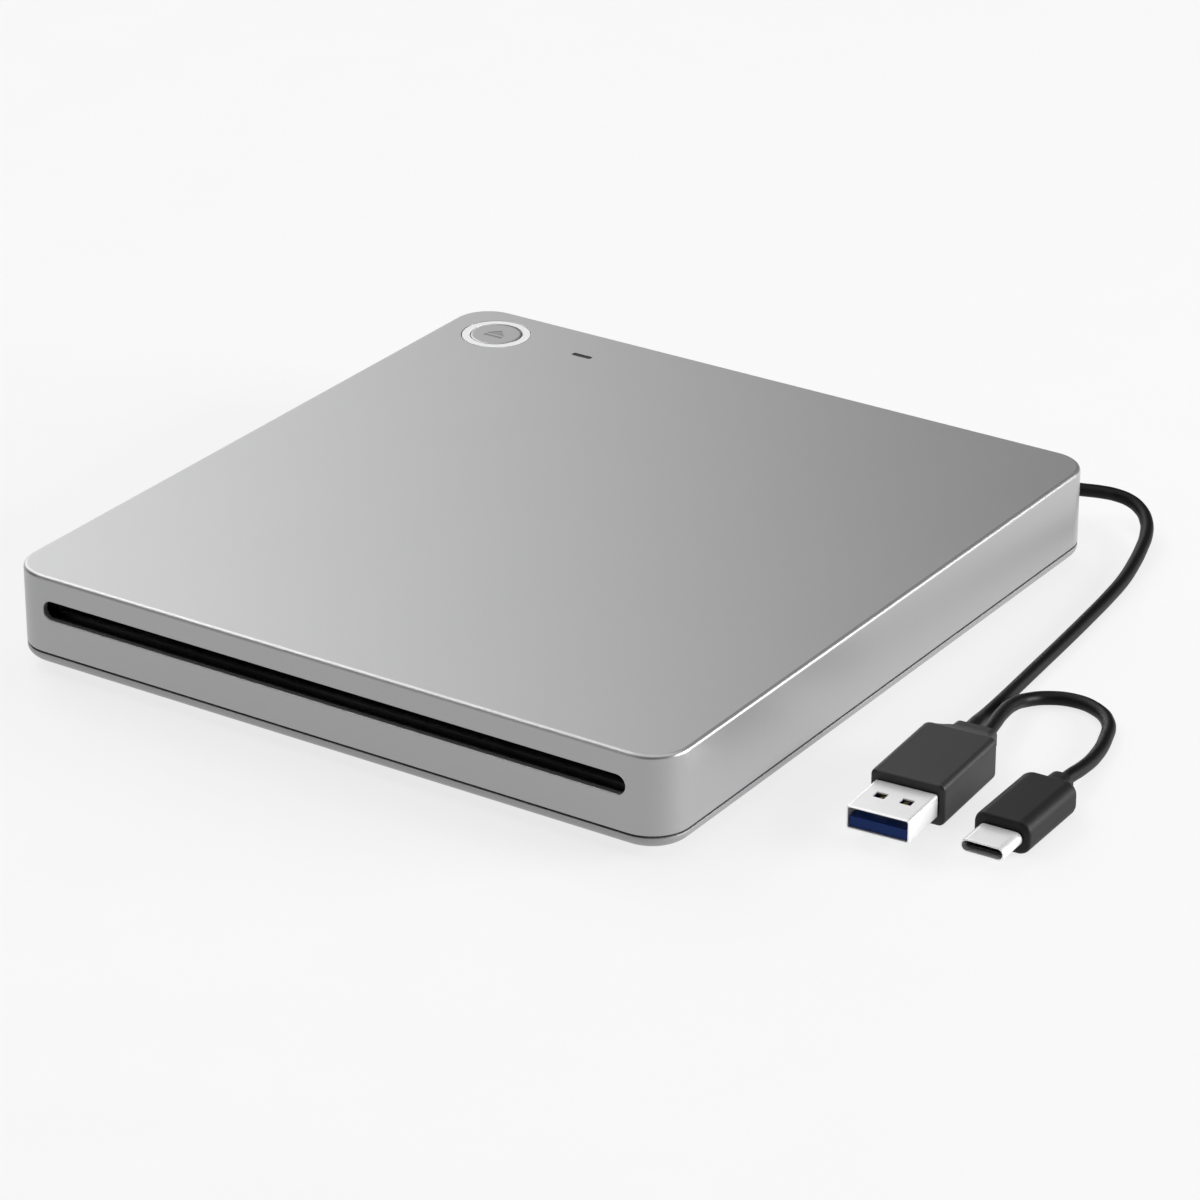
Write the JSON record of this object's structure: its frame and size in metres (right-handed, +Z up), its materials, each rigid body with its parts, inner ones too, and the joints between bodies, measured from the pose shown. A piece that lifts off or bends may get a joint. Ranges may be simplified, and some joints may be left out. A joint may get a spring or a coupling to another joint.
{
  "type": "external optical drive",
  "caption": "Flat slot-load external optical drive in a satin silver case, with a top eject button, a status light, and an attached lead to USB-A and USB-C plugs.",
  "frame": {"origin": "centre of the case's footprint at the bottom of its feet", "axes": "+Z up, +Y from the disc slot's face to the cable's face, +X to the right seen from the slot"},
  "size_m": [0.1911, 0.1685, 0.02],
  "materials": {
    "cover": "satin silver, fine metallic grain",
    "base": "satin silver plastic",
    "ring": "translucent white light ring",
    "feet": "matt black rubber",
    "felt": "black flocked felt",
    "black": "black moulded plastic",
    "smoked": "smoked light pipe",
    "jacket": "black cable jacket",
    "nickel": "nickel-plated plug shell",
    "screws": "zinc-plated steel screws",
    "blue": "blue plug tongue",
    "sheet": "zinc-coated sheet steel",
    "shaft": "ground steel",
    "grey": "grey moulded plastic",
    "white": "natural acetal",
    "board": "green circuit board",
    "lens": "coated lens",
    "ribbon": "flat flexible cable"
  },
  "bodies": {
    "case": {"top_cover": "cover", "base_cover": "base", "button_ring": "ring", "eject_switch": "black", "light_pipe": "smoked", "status_led": "white", "bridge_board": "board", "cable_connector": "white", "inner_lead": "jacket", "cable_boot": "feet", "usb_cable": "jacket", "usb_c_lead": "jacket", "usb_a_housing": "black", "usb_a_shell": "nickel", "usb_a_tongue": "blue", "usb_c_housing": "black", "usb_c_shell": "nickel", "usb_c_insert": "black", "upper_felt_strip": "felt", "lower_felt_strip": "felt", "drive_chassis": "sheet", "drive_top_plate": "sheet", "loading_motor": "shaft", "main_board": "board", "ribbon_cable": "ribbon", "foot_front_left": "feet", "case_screw_front_left": "screws", "drive_screw_front_left": "screws", "foot_front_right": "feet", "case_screw_front_right": "screws", "drive_screw_front_right": "screws", "foot_rear_left": "feet", "case_screw_rear_left": "screws", "drive_screw_rear_left": "screws", "foot_rear_right": "feet", "case_screw_rear_right": "screws", "drive_screw_rear_right": "screws"},
    "button": {"eject_button": "cover", "switch_plunger": "grey"},
    "cam": {"cam_slider": "sheet"},
    "worm": {"loading_worm": "white"},
    "gear": {"loading_gear": "white"},
    "left_arm": {"left_disc_arm": "sheet"},
    "right_arm": {"right_disc_arm": "sheet"},
    "left_roller": {"left_arm_roller": "white"},
    "right_roller": {"right_arm_roller": "white"},
    "traverse": {"traverse_frame": "sheet", "spindle_motor": "shaft", "guide_rod_left": "shaft", "guide_rod_right": "shaft", "sled_motor": "shaft"},
    "platter": {"turntable": "black"},
    "sled": {"pickup_sled": "sheet"},
    "lens": {"objective_lens": "lens"},
    "screw": {"lead_screw": "shaft"}
  },
  "joints": [
    {"name": "eject_press", "type": "slide", "parent": "case", "child": "button", "axis": [0, 0, -1], "range_m": [0, 0.0005], "stiffness_N_per_m": 800, "springref_m": -0.0005},
    {"name": "cam_slide", "type": "slide", "parent": "case", "child": "cam", "axis": [0, 1, 0], "range_m": [0, 0.015]},
    {"name": "worm_spin", "type": "hinge", "parent": "case", "child": "worm", "pos_m": [0.0447, 0.01, 0.0081], "axis": [0, 1, 0], "range_deg": [0, 5730]},
    {"name": "gear_spin", "type": "hinge", "parent": "case", "child": "gear", "pos_m": [0.0387, 0.01, 0.0071], "axis": [0, 0, 1], "range_deg": [-286.5, 0]},
    {"name": "left_arm_swing", "type": "hinge", "parent": "case", "child": "left_arm", "pos_m": [-0.056, 0.008, 0.01], "axis": [0, 0, 1], "range_deg": [0, 15.2]},
    {"name": "right_arm_swing", "type": "hinge", "parent": "case", "child": "right_arm", "pos_m": [0.056, 0.008, 0.01], "axis": [0, 0, 1], "range_deg": [-15.2, 0]},
    {"name": "left_roller_spin", "type": "hinge", "parent": "left_arm", "child": "left_roller", "pos_m": [-0.0616, -0.0454, 0.0135], "axis": [0, 0, 1], "continuous": true},
    {"name": "right_roller_spin", "type": "hinge", "parent": "right_arm", "child": "right_roller", "pos_m": [0.0616, -0.0454, 0.0135], "axis": [0, 0, 1], "continuous": true},
    {"name": "traverse_lift", "type": "slide", "parent": "case", "child": "traverse", "axis": [0, 0, 1], "range_m": [0, 0.00341]},
    {"name": "turntable_spin", "type": "hinge", "parent": "traverse", "child": "platter", "pos_m": [0, -0.006, 0.00955], "axis": [0, 0, 1], "continuous": true},
    {"name": "sled_travel", "type": "slide", "parent": "traverse", "child": "sled", "axis": [0, 1, 0], "range_m": [0, 0.032]},
    {"name": "lead_screw_spin", "type": "hinge", "parent": "traverse", "child": "screw", "pos_m": [0.0265, 0, 0.0062], "axis": [0, 1, 0], "range_deg": [-3841, 0]},
    {"name": "lens_focus", "type": "slide", "parent": "sled", "child": "lens", "axis": [0, 0, 1], "range_m": [-0.0003, 0.0003], "stiffness_N_per_m": 30}
  ],
  "couplings": [
    {"joint": "worm_spin", "follows": "cam_slide", "rad_per_m": 6666.7},
    {"joint": "gear_spin", "follows": "cam_slide", "rad_per_m": -333.33},
    {"joint": "left_arm_swing", "follows": "cam_slide", "rad_per_m": 17.6},
    {"joint": "right_arm_swing", "follows": "cam_slide", "rad_per_m": -17.6},
    {"joint": "traverse_lift", "follows": "cam_slide", "ratio": 0.22667},
    {"joint": "lead_screw_spin", "follows": "sled_travel", "rad_per_m": -2094.4}
  ]
}
